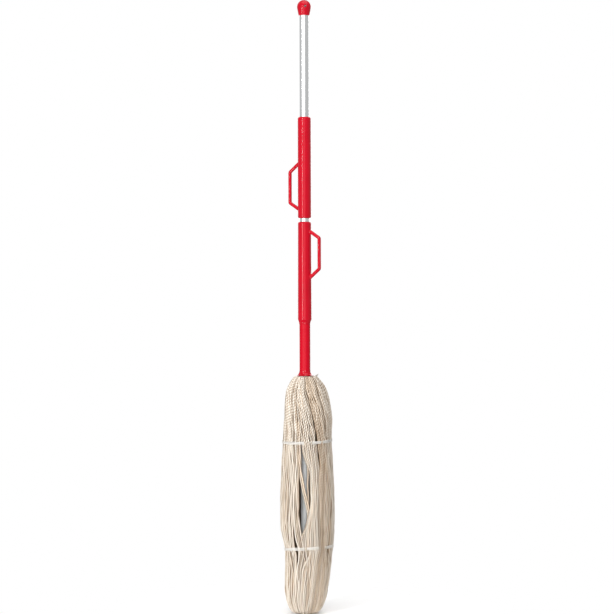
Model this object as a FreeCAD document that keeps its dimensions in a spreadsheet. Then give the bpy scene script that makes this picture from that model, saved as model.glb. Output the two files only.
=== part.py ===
"""A self-wringing string mop, as a parametric FreeCAD document.

A long pole carries a knob at its top and a hub at its bottom end. An upper grip with a hand loop is fixed
to the pole. A lower grip with its own loop is fixed to a pipe that slides down the pole and turns on it.
The yarn runs from the collar at the pipe's lower end to the hub at the pole's end, so that pulling the
sleeve up stretches it and turning the sleeve wrings it.

Frame: +Z up along the pole, origin on the pole's axis at the lowest point of the yarn, both loops in the
XZ plane. Lengths are millimetres.
"""

import FreeCAD, Part
import math
import os
import Sketcher

DRIVING = {
    # pole and knob
    "overall_height": 1500.0,
    "pole_radius": 11.1,
    "pole_wall": 1.0,
    "pole_foot": 52.0,
    "knob_radius": 17.2,
    "knob_height": 38.4,
    "knob_rim_radius": 13.3,
    "knob_socket": 14.4,
    "hang_hole_radius": 3.0,
    "hang_hole_turn": 40.0,
    # clearances
    "fixed_gap": 0.04,
    "running_gap": 0.08,
    # grips
    "grip_radius": 16.2,
    "grip_lip": 5.0,
    "grip_round": 4.5,
    "grip_spacing": 8.1,
    "upper_grip_top": 1213.3,
    "upper_grip_length": 248.4,
    "lower_grip_length": 241.2,
    "lower_grip_foot_radius": 16.85,
    "lower_grip_tail": 10.0,
    "bush_length": 20.0,
    "flange_thickness": 6.0,
    # hand loops
    "loop_bar_radius": 4.3,
    "loop_reach": 41.0,
    "loop_bend": 5.0,
    "loop_bar_length": 70.4,
    "loop_steep_rise": 27.6,
    "loop_flat_rise": 22.8,
    "loop_root_depth": 3.2,
    "loop_root_round": 2.5,
    "upper_loop_offset": 42.0,
    "lower_loop_offset": 43.3,
    # turning pipe and its guides
    "pipe_radius": 13.2,
    "pipe_wall": 0.9,
    "pipe_foot": 545.0,
    "guide_top_length": 30.0,
    "guide_foot_length": 18.0,
    "guide_flange": 3.0,
    "ring_section": 1.3,
    # collar
    "collar_top": 592.5,
    "collar_lip": 0.5,
    "collar_flare_top": 590.0,
    "collar_flare_foot": 580.5,
    "collar_flare_radius": 20.5,
    "collar_skin": 1.8,
    "collar_scallops": 10.0,
    "scallop_radius": 3.2,
    "scallop_depth": 1.4,
    "spigot_foot": 538.0,
    "spigot_radius": 14.7,
    "spigot_rim_radius": 17.0,
    "spigot_rim": 3.0,
    "rivet_radius": 1.6,
    "rivet_head_radius": 2.8,
    "rivet_head": 0.8,
    "rivet_height": 570.0,
    # hub at the pole's end
    "hub_foot": 40.0,
    "hub_height": 38.0,
    "hub_core_radius": 12.8,
    "hub_rim_radius": 15.8,
    "hub_rim": 3.0,
    "plug_length": 26.0,
    "washer_radius": 7.0,
    "washer_thickness": 1.2,
    # binding wire and fasteners
    "wire_radius": 0.8,
    "wire_turns": 4.0,
    "screw_radius": 1.6,
    "screw_length": 8.5,
    "short_screw_length": 4.4,
    "screw_head_radius": 3.3,
    "screw_head": 2.0,
    "screw_hole_gap": 0.15,
    # yarn
    "yarn_thickness": 8.0,
    "yarn_gap": 0.8,
    "yarn_top": 579.3,
    "yarn_foot_radius": 22.0,
    "tie_upper": 419.5,
    "tie_lower": 159.5,
    "tie_width": 7.0,
    "tie_thickness": 1.4,
    "tie_gap": 0.4,
}

# Outer radius of the yarn at heights above the floor, from the turned-in foot up to the collar.
YARN_OUTLINE = (
    (3.0, 30.5),
    (15.0, 41.0),
    (50.0, 51.5),
    (93.0, 55.5),
    (156.0, 58.5),
    (186.0, 64.0),
    (216.0, 66.0),
    (275.0, 66.5),
    (334.0, 64.0),
    (372.0, 62.5),
    (419.5, 59.5),
    (450.0, 60.3),
    (480.0, 58.5),
    (519.0, 55.0),
    (546.0, 48.0),
    (564.0, 38.0),
)


class Size:
    """A length that is known both as a number and as a spreadsheet expression."""

    def __init__(self, number, text=None):
        self.number = float(number)
        self.text = text or f"{self.number:g}"

    def _join(self, sign, other, number):
        return Size(number, f"({self.text} {sign} {other.text})")

    def __add__(self, other):
        other = as_size(other)
        return self._join("+", other, self.number + other.number)

    def __sub__(self, other):
        other = as_size(other)
        return self._join("-", other, self.number - other.number)

    def __mul__(self, other):
        other = as_size(other)
        return self._join("*", other, self.number * other.number)

    def __neg__(self):
        return Size(-self.number, f"(-{self.text})")


def as_size(value):
    return value if isinstance(value, Size) else Size(value)


def make_sheet(doc):
    """The driving dimensions as a spreadsheet, one aliased cell each."""
    sheet = doc.addObject("Spreadsheet::Sheet", "sizes")
    for row, (name, value) in enumerate(DRIVING.items(), start=1):
        sheet.set(f"A{row}", name)
        sheet.set(f"B{row}", f"{value:g}")
        sheet.setAlias(f"B{row}", name)
    doc.recompute()
    return sheet


doc = FreeCAD.newDocument("string_mop")
sheet = make_sheet(doc)
d = {name: Size(getattr(sheet, name), f"sizes.{name}") for name in DRIVING}
pieces = []


# ---------------------------------------------------------------- helpers


def piece(thing):
    """Marks an object of the document as a finished sub-part."""
    pieces.append(thing)
    return thing


def new_body(label):
    body = doc.addObject("PartDesign::Body", label)
    body.Label = label
    return body


def new_sketch(body, role, label):
    """An empty sketch on one of the body's own origin planes."""
    sketch = body.newObject("Sketcher::SketchObject", label)
    plane = next(f for f in body.Origin.OriginFeatures if f.Role == role)
    sketch.AttachmentSupport = [(plane, "")]
    sketch.MapMode = "FlatFace"
    return sketch


def bound(sketch, kind, *where, size):
    """Adds a dimension whose value follows the spreadsheet."""
    index = sketch.addConstraint(Sketcher.Constraint(kind, *where, size.number))
    sketch.setExpression(f"Constraints[{index}]", size.text)


def place_point(sketch, geometry, position, x, y):
    """Fixes one point of a sketch element at x, y from the sketch's origin."""
    for kind, size, axis in (("DistanceX", x, -2), ("DistanceY", y, -1)):
        if size.number == 0:
            sketch.addConstraint(Sketcher.Constraint("PointOnObject", geometry, position, axis))
        else:
            bound(sketch, kind, -1, 1, geometry, position, size=size)


def outline(body, label, corners):
    """A closed outline of straight lines in the XZ plane, each corner (radius, height) bound to the sheet."""
    sketch = new_sketch(body, "XZ_Plane", label)
    corners = [(as_size(r), as_size(z)) for r, z in corners]
    points = [FreeCAD.Vector(r.number, z.number, 0) for r, z in corners]
    count = len(points)
    for i in range(count):
        sketch.addGeometry(Part.LineSegment(points[i], points[(i + 1) % count]))
    for i in range(count):
        sketch.addConstraint(Sketcher.Constraint("Coincident", i, 2, (i + 1) % count, 1))
    for i, (r, z) in enumerate(corners):
        place_point(sketch, i, 1, r, z)
    return sketch


def turned(body, label, corners):
    """A solid of revolution about the body's Z axis."""
    revolution = body.newObject("PartDesign::Revolution", label)
    revolution.Profile = outline(body, f"{label}_outline", corners)
    revolution.ReferenceAxis = (revolution.Profile[0], ["V_Axis"])
    revolution.Angle = 360
    doc.recompute()
    return revolution


def turned_piece(label, corners):
    body = new_body(label)
    turned(body, f"{label}_turned", corners)
    return piece(body)


def ring_corners(inner, outer, low, high):
    return [(inner, low), (outer, low), (outer, high), (inner, high)]


def round_edges(feature, radius, height):
    """Names of a feature's full circles of that radius at that height."""
    names = []
    for i, edge in enumerate(feature.Shape.Edges, start=1):
        curve = edge.Curve
        if not isinstance(curve, Part.Circle):
            continue
        if abs(curve.Radius - radius.number) < 0.01 and abs(curve.Center.z - height.number) < 0.01:
            names.append(f"Edge{i}")
    return names


def fillet(base, label, edges, radius):
    """A fillet on the named edges of a PartDesign feature."""
    if not edges:
        raise RuntimeError(f"{label} found no edge")
    body = base.getParentGeoFeatureGroup()
    feature = body.newObject("PartDesign::Fillet", label)
    feature.Base = (base, edges)
    feature.setExpression("Radius", radius.text)
    body.Tip = feature
    doc.recompute()
    return feature


def cross_holes(body, label, heights, radius, through=True):
    """Round holes square to the axis: right across, or only through the +Y side."""
    before = body.Shape.Volume
    sketch = new_sketch(body, "XZ_Plane", f"{label}_circles")
    for i, height in enumerate(heights):
        centre = FreeCAD.Vector(0, height.number, 0)
        sketch.addGeometry(Part.Circle(centre, FreeCAD.Vector(0, 0, 1), radius.number))
        bound(sketch, "Radius", i, size=radius)
        place_point(sketch, i, 3, Size(0), height)
    pocket = body.newObject("PartDesign::Pocket", label)
    pocket.Profile = sketch
    pocket.Type = "ThroughAll"
    pocket.Midplane = through
    doc.recompute()
    if body.Shape.Volume >= before:
        raise RuntimeError(f"{label} cuts nothing")
    return pocket


def screw_holes(body, label, heights):
    """Holes through the +Y side for the grips' screws."""
    return cross_holes(body, label, heights, d["screw_radius"] + d["screw_hole_gap"], through=False)


def group(label, members):
    """Identical pieces kept together as one sub-part."""
    compound = doc.addObject("Part::Compound", label)
    compound.Label = label
    compound.Links = members
    return piece(compound)


def screws(label, heights, skin, length):
    """Pan-head screws driven in from the +Y side through a skin of that outer radius."""
    found = []
    for i, height in enumerate(heights, start=1):
        body = new_body(f"{label}_{i}")
        head = d["screw_head_radius"]
        turned(
            body,
            f"{label}_{i}_turned",
            [
                (0, -length),
                (d["screw_radius"] * 0.5, -length),
                (d["screw_radius"], -length + 1.5),
                (d["screw_radius"], 0),
                (head, 0),
                (head, d["screw_head"] * 0.5),
                (head * 0.6, d["screw_head"]),
                (0, d["screw_head"]),
            ],
        )
        body.Placement.Rotation = FreeCAD.Rotation(FreeCAD.Vector(1, 0, 0), -90)
        body.setExpression(".Placement.Base.y", (skin + d["fixed_gap"]).text)
        body.setExpression(".Placement.Base.z", height.text)
        found.append(body)
    return group(label, found)


# ---------------------------------------------------------------- pole, knob and hub


def make_pole():
    top = d["overall_height"] - d["knob_height"] + d["knob_socket"]
    body = new_body("inner_pole")
    inner = d["pole_radius"] - d["pole_wall"]
    turned(body, "inner_pole_tube", ring_corners(inner, d["pole_radius"], d["pole_foot"], top))
    screw_holes(body, "inner_pole_screw_hole", [upper_screw])
    return piece(body)


def make_knob():
    """A ball that tapers to a round rim, with a socket for the pole and a hole to hang the mop by."""
    rim = d["overall_height"] - d["knob_height"]
    centre = d["overall_height"] - d["knob_radius"]
    ball = doc.addObject("Part::Sphere", "knob_ball")
    ball.setExpression("Radius", d["knob_radius"].text)
    ball.setExpression(".Placement.Base.z", centre.text)
    # The taper leaves the ball where it is tangent to it.
    drop = centre.number - rim.number
    reach = math.hypot(drop, d["knob_rim_radius"].number)
    lean = math.asin(d["knob_radius"].number / reach) - math.atan2(d["knob_rim_radius"].number, drop)
    taper = doc.addObject("Part::Cone", "knob_taper")
    taper.setExpression("Radius1", d["knob_rim_radius"].text)
    taper.Radius2 = d["knob_radius"].number * math.cos(lean)
    taper.Height = drop - d["knob_radius"].number * math.sin(lean)
    taper.setExpression(".Placement.Base.z", rim.text)
    solid = doc.addObject("Part::MultiFuse", "knob_solid")
    solid.Shapes = [ball, taper]
    socket = doc.addObject("Part::Cylinder", "knob_socket_cut")
    socket.setExpression("Radius", (d["pole_radius"] + d["fixed_gap"]).text)
    socket.setExpression("Height", (d["knob_socket"] + 1.0 + d["fixed_gap"]).text)
    socket.setExpression(".Placement.Base.z", (rim - 1.0).text)
    hole = doc.addObject("Part::Cylinder", "knob_hang_hole_cut")
    hole.setExpression("Radius", d["hang_hole_radius"].text)
    hole.setExpression("Height", (d["knob_radius"] * 2.4).text)
    turn = math.radians(d["hang_hole_turn"].number)
    along = FreeCAD.Vector(math.sin(turn), -math.cos(turn), 0)
    half = d["knob_radius"].number * 1.2
    hole.Placement = FreeCAD.Placement(
        along * -half + FreeCAD.Vector(0, 0, hang_hole_height.number),
        FreeCAD.Rotation(FreeCAD.Vector(0, 0, 1), along),
    )
    cuts = doc.addObject("Part::MultiFuse", "knob_cuts")
    cuts.Shapes = [socket, hole]
    knob = doc.addObject("Part::Cut", "top_knob")
    knob.Base = solid
    knob.Tool = cuts
    knob.Label = "top_knob"
    return piece(knob)


def make_hub():
    """The plug in the pole's foot, the spool that the yarn's lower ends are bound to, and its screw."""
    foot, bore = d["hub_foot"], d["pole_radius"] + d["fixed_gap"]
    floor = d["pole_foot"] - d["fixed_gap"]
    top = foot + d["hub_height"]
    pilot = d["screw_radius"] + d["screw_hole_gap"]
    turned_piece(
        "yarn_hub",
        [
            (pilot, foot),
            (d["hub_rim_radius"], foot),
            (d["hub_rim_radius"], foot + d["hub_rim"]),
            (d["hub_core_radius"], foot + d["hub_rim"] + 1.5),
            (d["hub_core_radius"], top - d["hub_rim"] - 1.5),
            (d["hub_rim_radius"], top - d["hub_rim"]),
            (d["hub_rim_radius"], top),
            (bore, top),
            (bore, floor),
            (pilot, floor),
        ],
    )
    inner = d["pole_radius"] - d["pole_wall"] - d["fixed_gap"]
    turned_piece(
        "pole_end_plug",
        ring_corners(pilot, inner, d["pole_foot"] + d["fixed_gap"], d["pole_foot"] + d["plug_length"]),
    )
    turned_piece(
        "hub_washer",
        ring_corners(
            pilot, d["washer_radius"], foot - d["washer_thickness"] - d["fixed_gap"], foot - d["fixed_gap"]
        ),
    )
    seat = foot - d["washer_thickness"] - d["fixed_gap"] * 2.0
    head = d["screw_head_radius"] * 1.25
    turned_piece(
        "hub_screw",
        [
            (0, seat - d["screw_head"] * 1.2),
            (head * 0.6, seat - d["screw_head"] * 1.2),
            (head, seat - d["screw_head"] * 0.5),
            (head, seat),
            (d["screw_radius"], seat),
            (d["screw_radius"], seat + 30.0),
            (d["screw_radius"] * 0.5, seat + 32.0),
            (0, seat + 32.0),
        ],
    )


# ---------------------------------------------------------------- grips


def loop_path(body, label, side, heights):
    """The loop's centreline: an arm, a bend, the bar, a bend and an arm, on one side of the grip."""
    root_top, bend_top, bend_foot, root_foot = heights
    sketch = new_sketch(body, "XZ_Plane", label)
    root_x = Size(side) * (grip_bore - d["loop_root_depth"])
    bar_x = Size(side) * (d["loop_reach"])
    centre_x = Size(side) * (d["loop_reach"] - d["loop_bend"])
    radius = d["loop_bend"].number

    def tangent_point(root, centre_height, upward):
        """Where the arm from the root touches the bend's circle, on the loop's outside."""
        root_at = FreeCAD.Vector(root_x.number, root.number, 0)
        centre = FreeCAD.Vector(centre_x.number, centre_height.number, 0)
        span = root_at - centre
        turn = math.acos(radius / span.Length) * side * upward * -1
        spoke = FreeCAD.Rotation(FreeCAD.Vector(0, 0, 1), math.degrees(turn)).multVec(span)
        return centre + spoke.normalize() * radius

    top = tangent_point(root_top, bend_top, 1)
    foot = tangent_point(root_foot, bend_foot, -1)
    bar_top = FreeCAD.Vector(bar_x.number, bend_top.number, 0)
    bar_foot = FreeCAD.Vector(bar_x.number, bend_foot.number, 0)

    def bend(start, end, height):
        centre = FreeCAD.Vector(centre_x.number, height.number, 0)
        middle = centre + ((start + end) * 0.5 - centre).normalize() * radius
        return Part.Arc(start, middle, end)

    root_top_at = FreeCAD.Vector(root_x.number, root_top.number, 0)
    root_foot_at = FreeCAD.Vector(root_x.number, root_foot.number, 0)
    sketch.addGeometry(Part.LineSegment(root_top_at, top))
    sketch.addGeometry(bend(top, bar_top, bend_top))
    sketch.addGeometry(Part.LineSegment(bar_top, bar_foot))
    sketch.addGeometry(bend(bar_foot, foot, bend_foot))
    sketch.addGeometry(Part.LineSegment(foot, root_foot_at))

    # A sketch keeps its arcs anticlockwise, so each arc's first point depends on the loop's side.
    first, last = (2, 1) if side > 0 else (1, 2)
    for line, line_end, arc, arc_end in ((0, 2, 1, first), (2, 1, 1, last), (2, 2, 3, first), (4, 1, 3, last)):
        sketch.addConstraint(Sketcher.Constraint("Tangent", line, line_end, arc, arc_end))
    place_point(sketch, 0, 1, root_x, root_top)
    place_point(sketch, 4, 2, root_x, root_foot)
    sketch.addConstraint(Sketcher.Constraint("Vertical", 2))
    bound(sketch, "DistanceX", -1, 1, 2, 1, size=bar_x)
    for arc, height in ((1, bend_top), (3, bend_foot)):
        bound(sketch, "Radius", arc, size=d["loop_bend"])
        bound(sketch, "DistanceY", -1, 1, arc, 3, size=height)
    return sketch


def add_loop(body, base, label, side, heights):
    """The hand loop swept onto the grip, its roots rounded into the grip's skin."""
    path = loop_path(body, f"{label}_path", side, heights)
    doc.recompute()
    section = body.newObject("Sketcher::SketchObject", f"{label}_section")
    section.AttachmentSupport = [(path, "Edge1")]
    section.MapMode = "NormalToEdge"
    section.MapPathParameter = 0.0
    section.addGeometry(Part.Circle(FreeCAD.Vector(0, 0, 0), FreeCAD.Vector(0, 0, 1), d["loop_bar_radius"].number))
    section.addConstraint(Sketcher.Constraint("Coincident", 0, 3, -1, 1))
    bound(section, "Radius", 0, size=d["loop_bar_radius"])
    doc.recompute()
    pipe = body.newObject("PartDesign::AdditivePipe", label)
    pipe.Profile = section
    pipe.Spine = path
    pipe.Mode = "Frenet"
    body.Tip = pipe
    doc.recompute()
    return pipe


def cut_bore(body, label, low, high):
    """Clears the grip's bore where the loop's roots reach into it."""
    groove = body.newObject("PartDesign::Groove", label)
    corners = [(0, low), (grip_bore, low), (grip_bore, high), (0, high)]
    groove.Profile = outline(body, f"{label}_outline", corners)
    groove.ReferenceAxis = (groove.Profile[0], ["V_Axis"])
    groove.Angle = 360
    body.Tip = groove
    doc.recompute()
    return groove


def root_edges(feature, side):
    """The two curves where the loop's arms meet the grip's outer skin."""
    found = []
    for i, edge in enumerate(feature.Shape.Edges, start=1):
        box = edge.BoundBox
        reach = max(abs(box.XMin), abs(box.XMax))
        near = min(abs(box.XMin), abs(box.XMax))
        flat = isinstance(edge.Curve, (Part.Circle, Part.Line))
        if flat or box.XMin * side < 0 or box.XMax * side < 0:
            continue
        if near > grip_bore.number + 1.0 and reach < d["lower_grip_foot_radius"].number + 0.2:
            found.append(f"Edge{i}")
    return found


def make_grip(label, side, foot, high, heights, screw):
    """A moulded sleeve with a lip at its top that closes round the pole, and a hand loop.

    The corners in foot shape its lower end, from the bore out to the grip's full radius.
    """
    body = new_body(label)
    lip_bore = d["pole_radius"] + 0.35
    low = as_size(foot[0][1])
    under_lip = high - d["grip_lip"]
    corners = foot + [
        (d["grip_radius"], high),
        (lip_bore, high),
        (lip_bore, under_lip),
        (grip_bore, under_lip),
    ]
    sleeve = turned(body, f"{label}_sleeve", corners)
    last = fillet(sleeve, f"{label}_top_round", round_edges(sleeve, d["grip_radius"], high), d["grip_round"])
    last = add_loop(body, last, f"{label}_loop", side, heights)
    last = cut_bore(body, f"{label}_bore", low, under_lip)
    last = fillet(last, f"{label}_root_round", root_edges(last, side), d["loop_root_round"])
    screw_holes(body, f"{label}_screw_hole", screw)
    return piece(body)


def make_upper_grip():
    top = d["upper_grip_top"]
    low = upper_grip_foot + d["flange_thickness"]
    bend_foot = upper_grip_foot + d["upper_loop_offset"]
    bend_top = bend_foot + d["loop_bar_length"]
    heights = [bend_top + d["loop_steep_rise"], bend_top, bend_foot, bend_foot - d["loop_flat_rise"]]
    make_grip("upper_grip", -1, [(grip_bore, low), (d["grip_radius"], low)], top, heights, [upper_screw])
    outer = grip_bore - d["fixed_gap"]
    inner = d["pole_radius"] + d["fixed_gap"]
    under_lip = top - d["grip_lip"] - d["fixed_gap"]
    spacer = new_body("upper_grip_spacer")
    turned(spacer, "upper_grip_spacer_ring", ring_corners(inner, outer, under_lip - d["bush_length"], under_lip))
    screw_holes(spacer, "upper_grip_spacer_hole", [upper_screw])
    piece(spacer)
    bush = new_body("upper_grip_end_bush")
    seat = low - d["fixed_gap"]
    flanged = turned(
        bush,
        "upper_grip_end_bush_turned",
        [
            (inner, upper_grip_foot),
            (d["grip_radius"], upper_grip_foot),
            (d["grip_radius"], seat),
            (outer, seat),
            (outer, seat + d["bush_length"]),
            (inner, seat + d["bush_length"]),
        ],
    )
    edges = round_edges(flanged, d["grip_radius"], upper_grip_foot)
    fillet(flanged, "upper_grip_end_bush_round", edges, d["grip_round"])
    piece(bush)
    screws("upper_grip_screw", [upper_screw], d["grip_radius"], d["screw_length"])


def make_lower_grip():
    bend_top = lower_grip_top - d["lower_loop_offset"]
    bend_foot = bend_top - d["loop_bar_length"]
    heights = [bend_top + d["loop_flat_rise"], bend_top, bend_foot, bend_foot - d["loop_steep_rise"]]
    step = lower_grip_top - d["lower_grip_length"]
    foot = [
        (grip_bore, step - d["lower_grip_tail"]),
        (grip_bore + 0.4, step - d["lower_grip_tail"]),
        (grip_bore + 1.1, step - d["lower_grip_tail"] * 0.5),
        (grip_bore + 2.3, step - 1.5),
        (d["lower_grip_foot_radius"] - 0.6, step),
        (d["lower_grip_foot_radius"], step + 1.2),
    ]
    make_grip("lower_grip", 1, foot, lower_grip_top, heights, lower_screws)
    screws("lower_grip_screws", lower_screws, d["lower_grip_foot_radius"], d["short_screw_length"])


# ---------------------------------------------------------------- turning pipe, guides and collar


def make_pipe():
    body = new_body("outer_pipe")
    inner = d["pipe_radius"] - d["pipe_wall"]
    turned(body, "outer_pipe_tube", ring_corners(inner, d["pipe_radius"], d["pipe_foot"], pipe_top))
    screw_holes(body, "outer_pipe_screw_holes", lower_screws)
    cross_holes(body, "outer_pipe_rivet_holes", [d["rivet_height"]], d["rivet_radius"] + d["screw_hole_gap"])
    return piece(body)


def make_guides():
    """The bushes that slide on the pole, and the rubber ring that keeps the sleeve where it is put."""
    bore = d["pole_radius"] + d["running_gap"]
    outer = d["pipe_radius"] - d["pipe_wall"] - d["running_gap"]
    flange = d["pipe_radius"] - 0.2
    gap = d["running_gap"]
    high = pipe_top + gap
    turned_piece(
        "guide_bush_top",
        [
            (bore, high - d["guide_top_length"]),
            (outer, high - d["guide_top_length"]),
            (outer, high),
            (flange, high),
            (flange, high + d["guide_flange"]),
            (bore + d["ring_section"] * 1.1, high + d["guide_flange"]),
            (bore + d["ring_section"] * 1.1, high + d["guide_flange"] - 2.0),
            (bore, high + d["guide_flange"] - 2.0),
        ],
    )
    low = d["pipe_foot"] - gap
    turned_piece(
        "guide_bush_foot",
        [
            (bore, low - d["guide_flange"]),
            (flange, low - d["guide_flange"]),
            (flange, low),
            (outer, low),
            (outer, low + d["guide_foot_length"]),
            (bore, low + d["guide_foot_length"]),
        ],
    )
    # The ring sits in the top bush's recess and rubs on the pole.
    section = d["ring_section"] * 0.5
    ring = doc.addObject("Part::Torus", "friction_ring")
    ring.Label = "friction_ring"
    ring.setExpression("Radius1", (bore + section).text)
    ring.setExpression("Radius2", (section - 0.02).text)
    ring.setExpression(".Placement.Base.z", (high + d["guide_flange"] - 1.0).text)
    piece(ring)


def scallops(body, label, rim):
    """Round hollows cut straight down through the skirt's rim, evenly all round."""
    before = body.Shape.Volume
    sketch = new_sketch(body, "XY_Plane", f"{label}_circles")
    count = int(d["collar_scallops"].number)
    distance = rim + d["scallop_radius"] - d["scallop_depth"]
    for i in range(count):
        turn = 2 * math.pi * (i + 0.5) / count
        x, y = distance * round(math.cos(turn), 6), distance * round(math.sin(turn), 6)
        centre = FreeCAD.Vector(x.number, y.number, 0)
        sketch.addGeometry(Part.Circle(centre, FreeCAD.Vector(0, 0, 1), d["scallop_radius"].number))
        bound(sketch, "Radius", i, size=d["scallop_radius"])
        place_point(sketch, i, 3, x, y)
    pocket = body.newObject("PartDesign::Pocket", label)
    pocket.Profile = sketch
    pocket.Type = "ThroughAll"
    pocket.Midplane = True
    doc.recompute()
    if body.Shape.Volume >= before:
        raise RuntimeError(f"{label} cuts nothing")
    return pocket


def make_collar():
    """The red skirt at the pipe's foot, with the spigot that the yarn's upper ends are bound to."""
    foot, flare = d["spigot_foot"], d["collar_flare_radius"]
    seat = d["pipe_radius"] + d["fixed_gap"]
    shoulder = d["pipe_foot"] - d["guide_flange"] - d["running_gap"] * 2.0
    bore = d["pole_radius"] + 0.6
    body = new_body("yarn_collar")
    turned(
        body,
        "yarn_collar_turned",
        [
            (bore, foot),
            (d["spigot_rim_radius"], foot),
            (d["spigot_rim_radius"], foot + d["spigot_rim"]),
            (d["spigot_radius"], foot + d["spigot_rim"] + 1.5),
            (d["spigot_radius"], d["collar_flare_foot"] + 2.0),
            (flare - d["collar_skin"], d["collar_flare_foot"]),
            (flare, d["collar_flare_foot"]),
            (flare, d["collar_flare_foot"] + 0.8),
            (seat + 3.7, d["collar_flare_foot"] + 2.6),
            (seat + 1.6, d["collar_flare_top"] - 3.8),
            (seat + d["collar_lip"], d["collar_flare_top"]),
            (seat + d["collar_lip"], d["collar_top"]),
            (seat, d["collar_top"]),
            (seat, shoulder),
            (bore, shoulder),
        ],
    )
    cross_holes(body, "yarn_collar_rivet_holes", [d["rivet_height"]], d["rivet_radius"] + d["screw_hole_gap"])
    scallops(body, "yarn_collar_scallops", flare)
    return piece(body)


def make_rivets():
    """Two blind rivets, front and back, that hold the collar on the pipe."""
    found = []
    length = d["spigot_radius"] - d["pipe_radius"] + d["pipe_wall"]
    for name, side in (("back", 1), ("front", -1)):
        body = new_body(f"collar_rivet_{name}")
        turned(
            body,
            f"collar_rivet_{name}_turned",
            [
                (0, -length),
                (d["rivet_radius"], -length),
                (d["rivet_radius"], 0),
                (d["rivet_head_radius"], 0),
                (d["rivet_head_radius"] * 0.7, d["rivet_head"]),
                (0, d["rivet_head"]),
            ],
        )
        body.Placement.Rotation = FreeCAD.Rotation(FreeCAD.Vector(1, 0, 0), -90 * side)
        body.setExpression(".Placement.Base.y", ((d["spigot_radius"] + d["fixed_gap"]) * side).text)
        body.setExpression(".Placement.Base.z", d["rivet_height"].text)
        found.append(body)
    return group("collar_rivets", found)


def wire_rings(label, radius, middle):
    """Turns of binding wire side by side round the yarn's ends."""
    turns = int(d["wire_turns"].number)
    pitch = d["wire_radius"] * 2.0 + 0.1
    found = []
    for i in range(turns):
        ring = doc.addObject("Part::Torus", f"{label}_{i + 1}")
        ring.setExpression("Radius1", radius.text)
        ring.setExpression("Radius2", d["wire_radius"].text)
        ring.setExpression(".Placement.Base.z", (middle + pitch * (i - (turns - 1) / 2)).text)
        found.append(ring)
    return group(label, found)


# ---------------------------------------------------------------- yarn


def yarn_radius(height):
    """The yarn's outer radius at a height, between the outline's points."""
    for (low, r_low), (high, r_high) in zip(YARN_OUTLINE, YARN_OUTLINE[1:]):
        if low <= height <= high:
            return r_low + (r_high - r_low) * (height - low) / (high - low)
    raise ValueError(height)


def side_curve(points, level_start=False):
    """A smooth curve through (radius, height) points in the XZ plane, which may set off level."""
    curve = Part.BSplineCurve()
    places = [FreeCAD.Vector(r, 0, z) for r, z in points]
    tangents = [FreeCAD.Vector(1, 0, 0)] * len(places)
    flags = [level_start] + [False] * (len(places) - 1)
    curve.interpolate(Points=places, Tangents=tangents, TangentFlags=flags)
    return curve.toShape()


def side_line(*points):
    """Straight lines through (radius, height) points in the XZ plane."""
    return Part.makePolygon([FreeCAD.Vector(r, 0, z) for r, z in points]).Edges


def quarter_turn(start, end):
    """A rounded corner that leaves start straight down and reaches end level."""
    (r0, z0), (r1, z1) = start, end
    slant = math.sqrt(0.5)
    middle = FreeCAD.Vector(r1 + (r0 - r1) * slant, 0, z0 + (z1 - z0) * slant)
    return Part.Arc(FreeCAD.Vector(r0, 0, z0), middle, FreeCAD.Vector(r1, 0, z1)).toShape()


def yarn_sleeve(label, edges):
    """A closed soft solid, turned from the edges of its section."""
    wire = Part.Wire(Part.sortEdges(edges)[0])
    yarn = doc.addObject("Part::Feature", label)
    yarn.Shape = Part.Face(wire).revolve(FreeCAD.Vector(0, 0, 0), FreeCAD.Vector(0, 0, 1), 360)
    yarn.Label = label
    return piece(yarn)


def make_lower_yarn():
    """From the upper tie down the outside, round the foot, and back up to the hub in the middle."""
    split, thick = d["tie_upper"].number, d["yarn_thickness"].number
    inner = d["hub_rim_radius"].number + d["yarn_gap"].number
    bend = d["yarn_foot_radius"].number - inner
    bound_at = d["hub_foot"].number + d["hub_height"].number * 0.5
    foot, tight = d["yarn_foot_radius"].number, bend - thick * 0.75
    lowest = bend - tight
    outside = [(r, z) for z, r in YARN_OUTLINE if z < split] + [(yarn_radius(split), split)]
    inside = [(r - thick, z) for r, z in outside if z > 30.0]
    wall = foot - tight
    yarn_sleeve(
        "lower_yarn",
        [
            side_curve([(foot, 0.0)] + outside, level_start=True),
            quarter_turn((inner, bend), (foot, 0.0)),
            side_curve([(foot, lowest), (foot + 10.0, lowest + 6.0)] + inside, level_start=True),
            quarter_turn((wall, bend), (foot, lowest)),
            *side_line((inner, bend), (inner, bound_at), (wall, bound_at), (wall, bend)),
            *side_line(outside[-1], inside[-1]),
        ],
    )


def make_upper_yarn():
    """From the upper tie up to the collar, where it turns in under the skirt."""
    split, thick, top = d["tie_upper"].number + 0.1, d["yarn_thickness"].number, d["yarn_top"].number
    inner = d["spigot_rim_radius"].number + d["yarn_gap"].number
    outside = [(yarn_radius(split), split)] + [(r, z) for z, r in YARN_OUTLINE if z > split]
    crown = [(yarn_radius(564.0) - 6.0, top - 5.0), (inner + 8.0, top)]
    inside = [(r - thick, z - 3.0 * (z > split)) for r, z in outside[:-2]]
    neck = [(inner + 12.0, 549.0), (inner + 1.0, 560.0)]
    yarn_sleeve(
        "upper_yarn",
        [
            side_curve(outside + crown),
            side_curve(inside + neck),
            *side_line(crown[-1], (inner + 1.0, top - 3.0), neck[-1]),
            *side_line(outside[0], inside[0]),
        ],
    )


def make_tie(label, middle):
    """A white string tie round the yarn, as a plain band."""
    half = d["tie_width"] * 0.5
    widest = max(yarn_radius(middle.number + s * half.number) for s in (-1, 1))
    inner = Size(widest) + d["tie_gap"]
    return turned_piece(
        label, ring_corners(inner, inner + d["tie_thickness"], middle - half, middle + half)
    )


# ---------------------------------------------------------------- assembly

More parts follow.
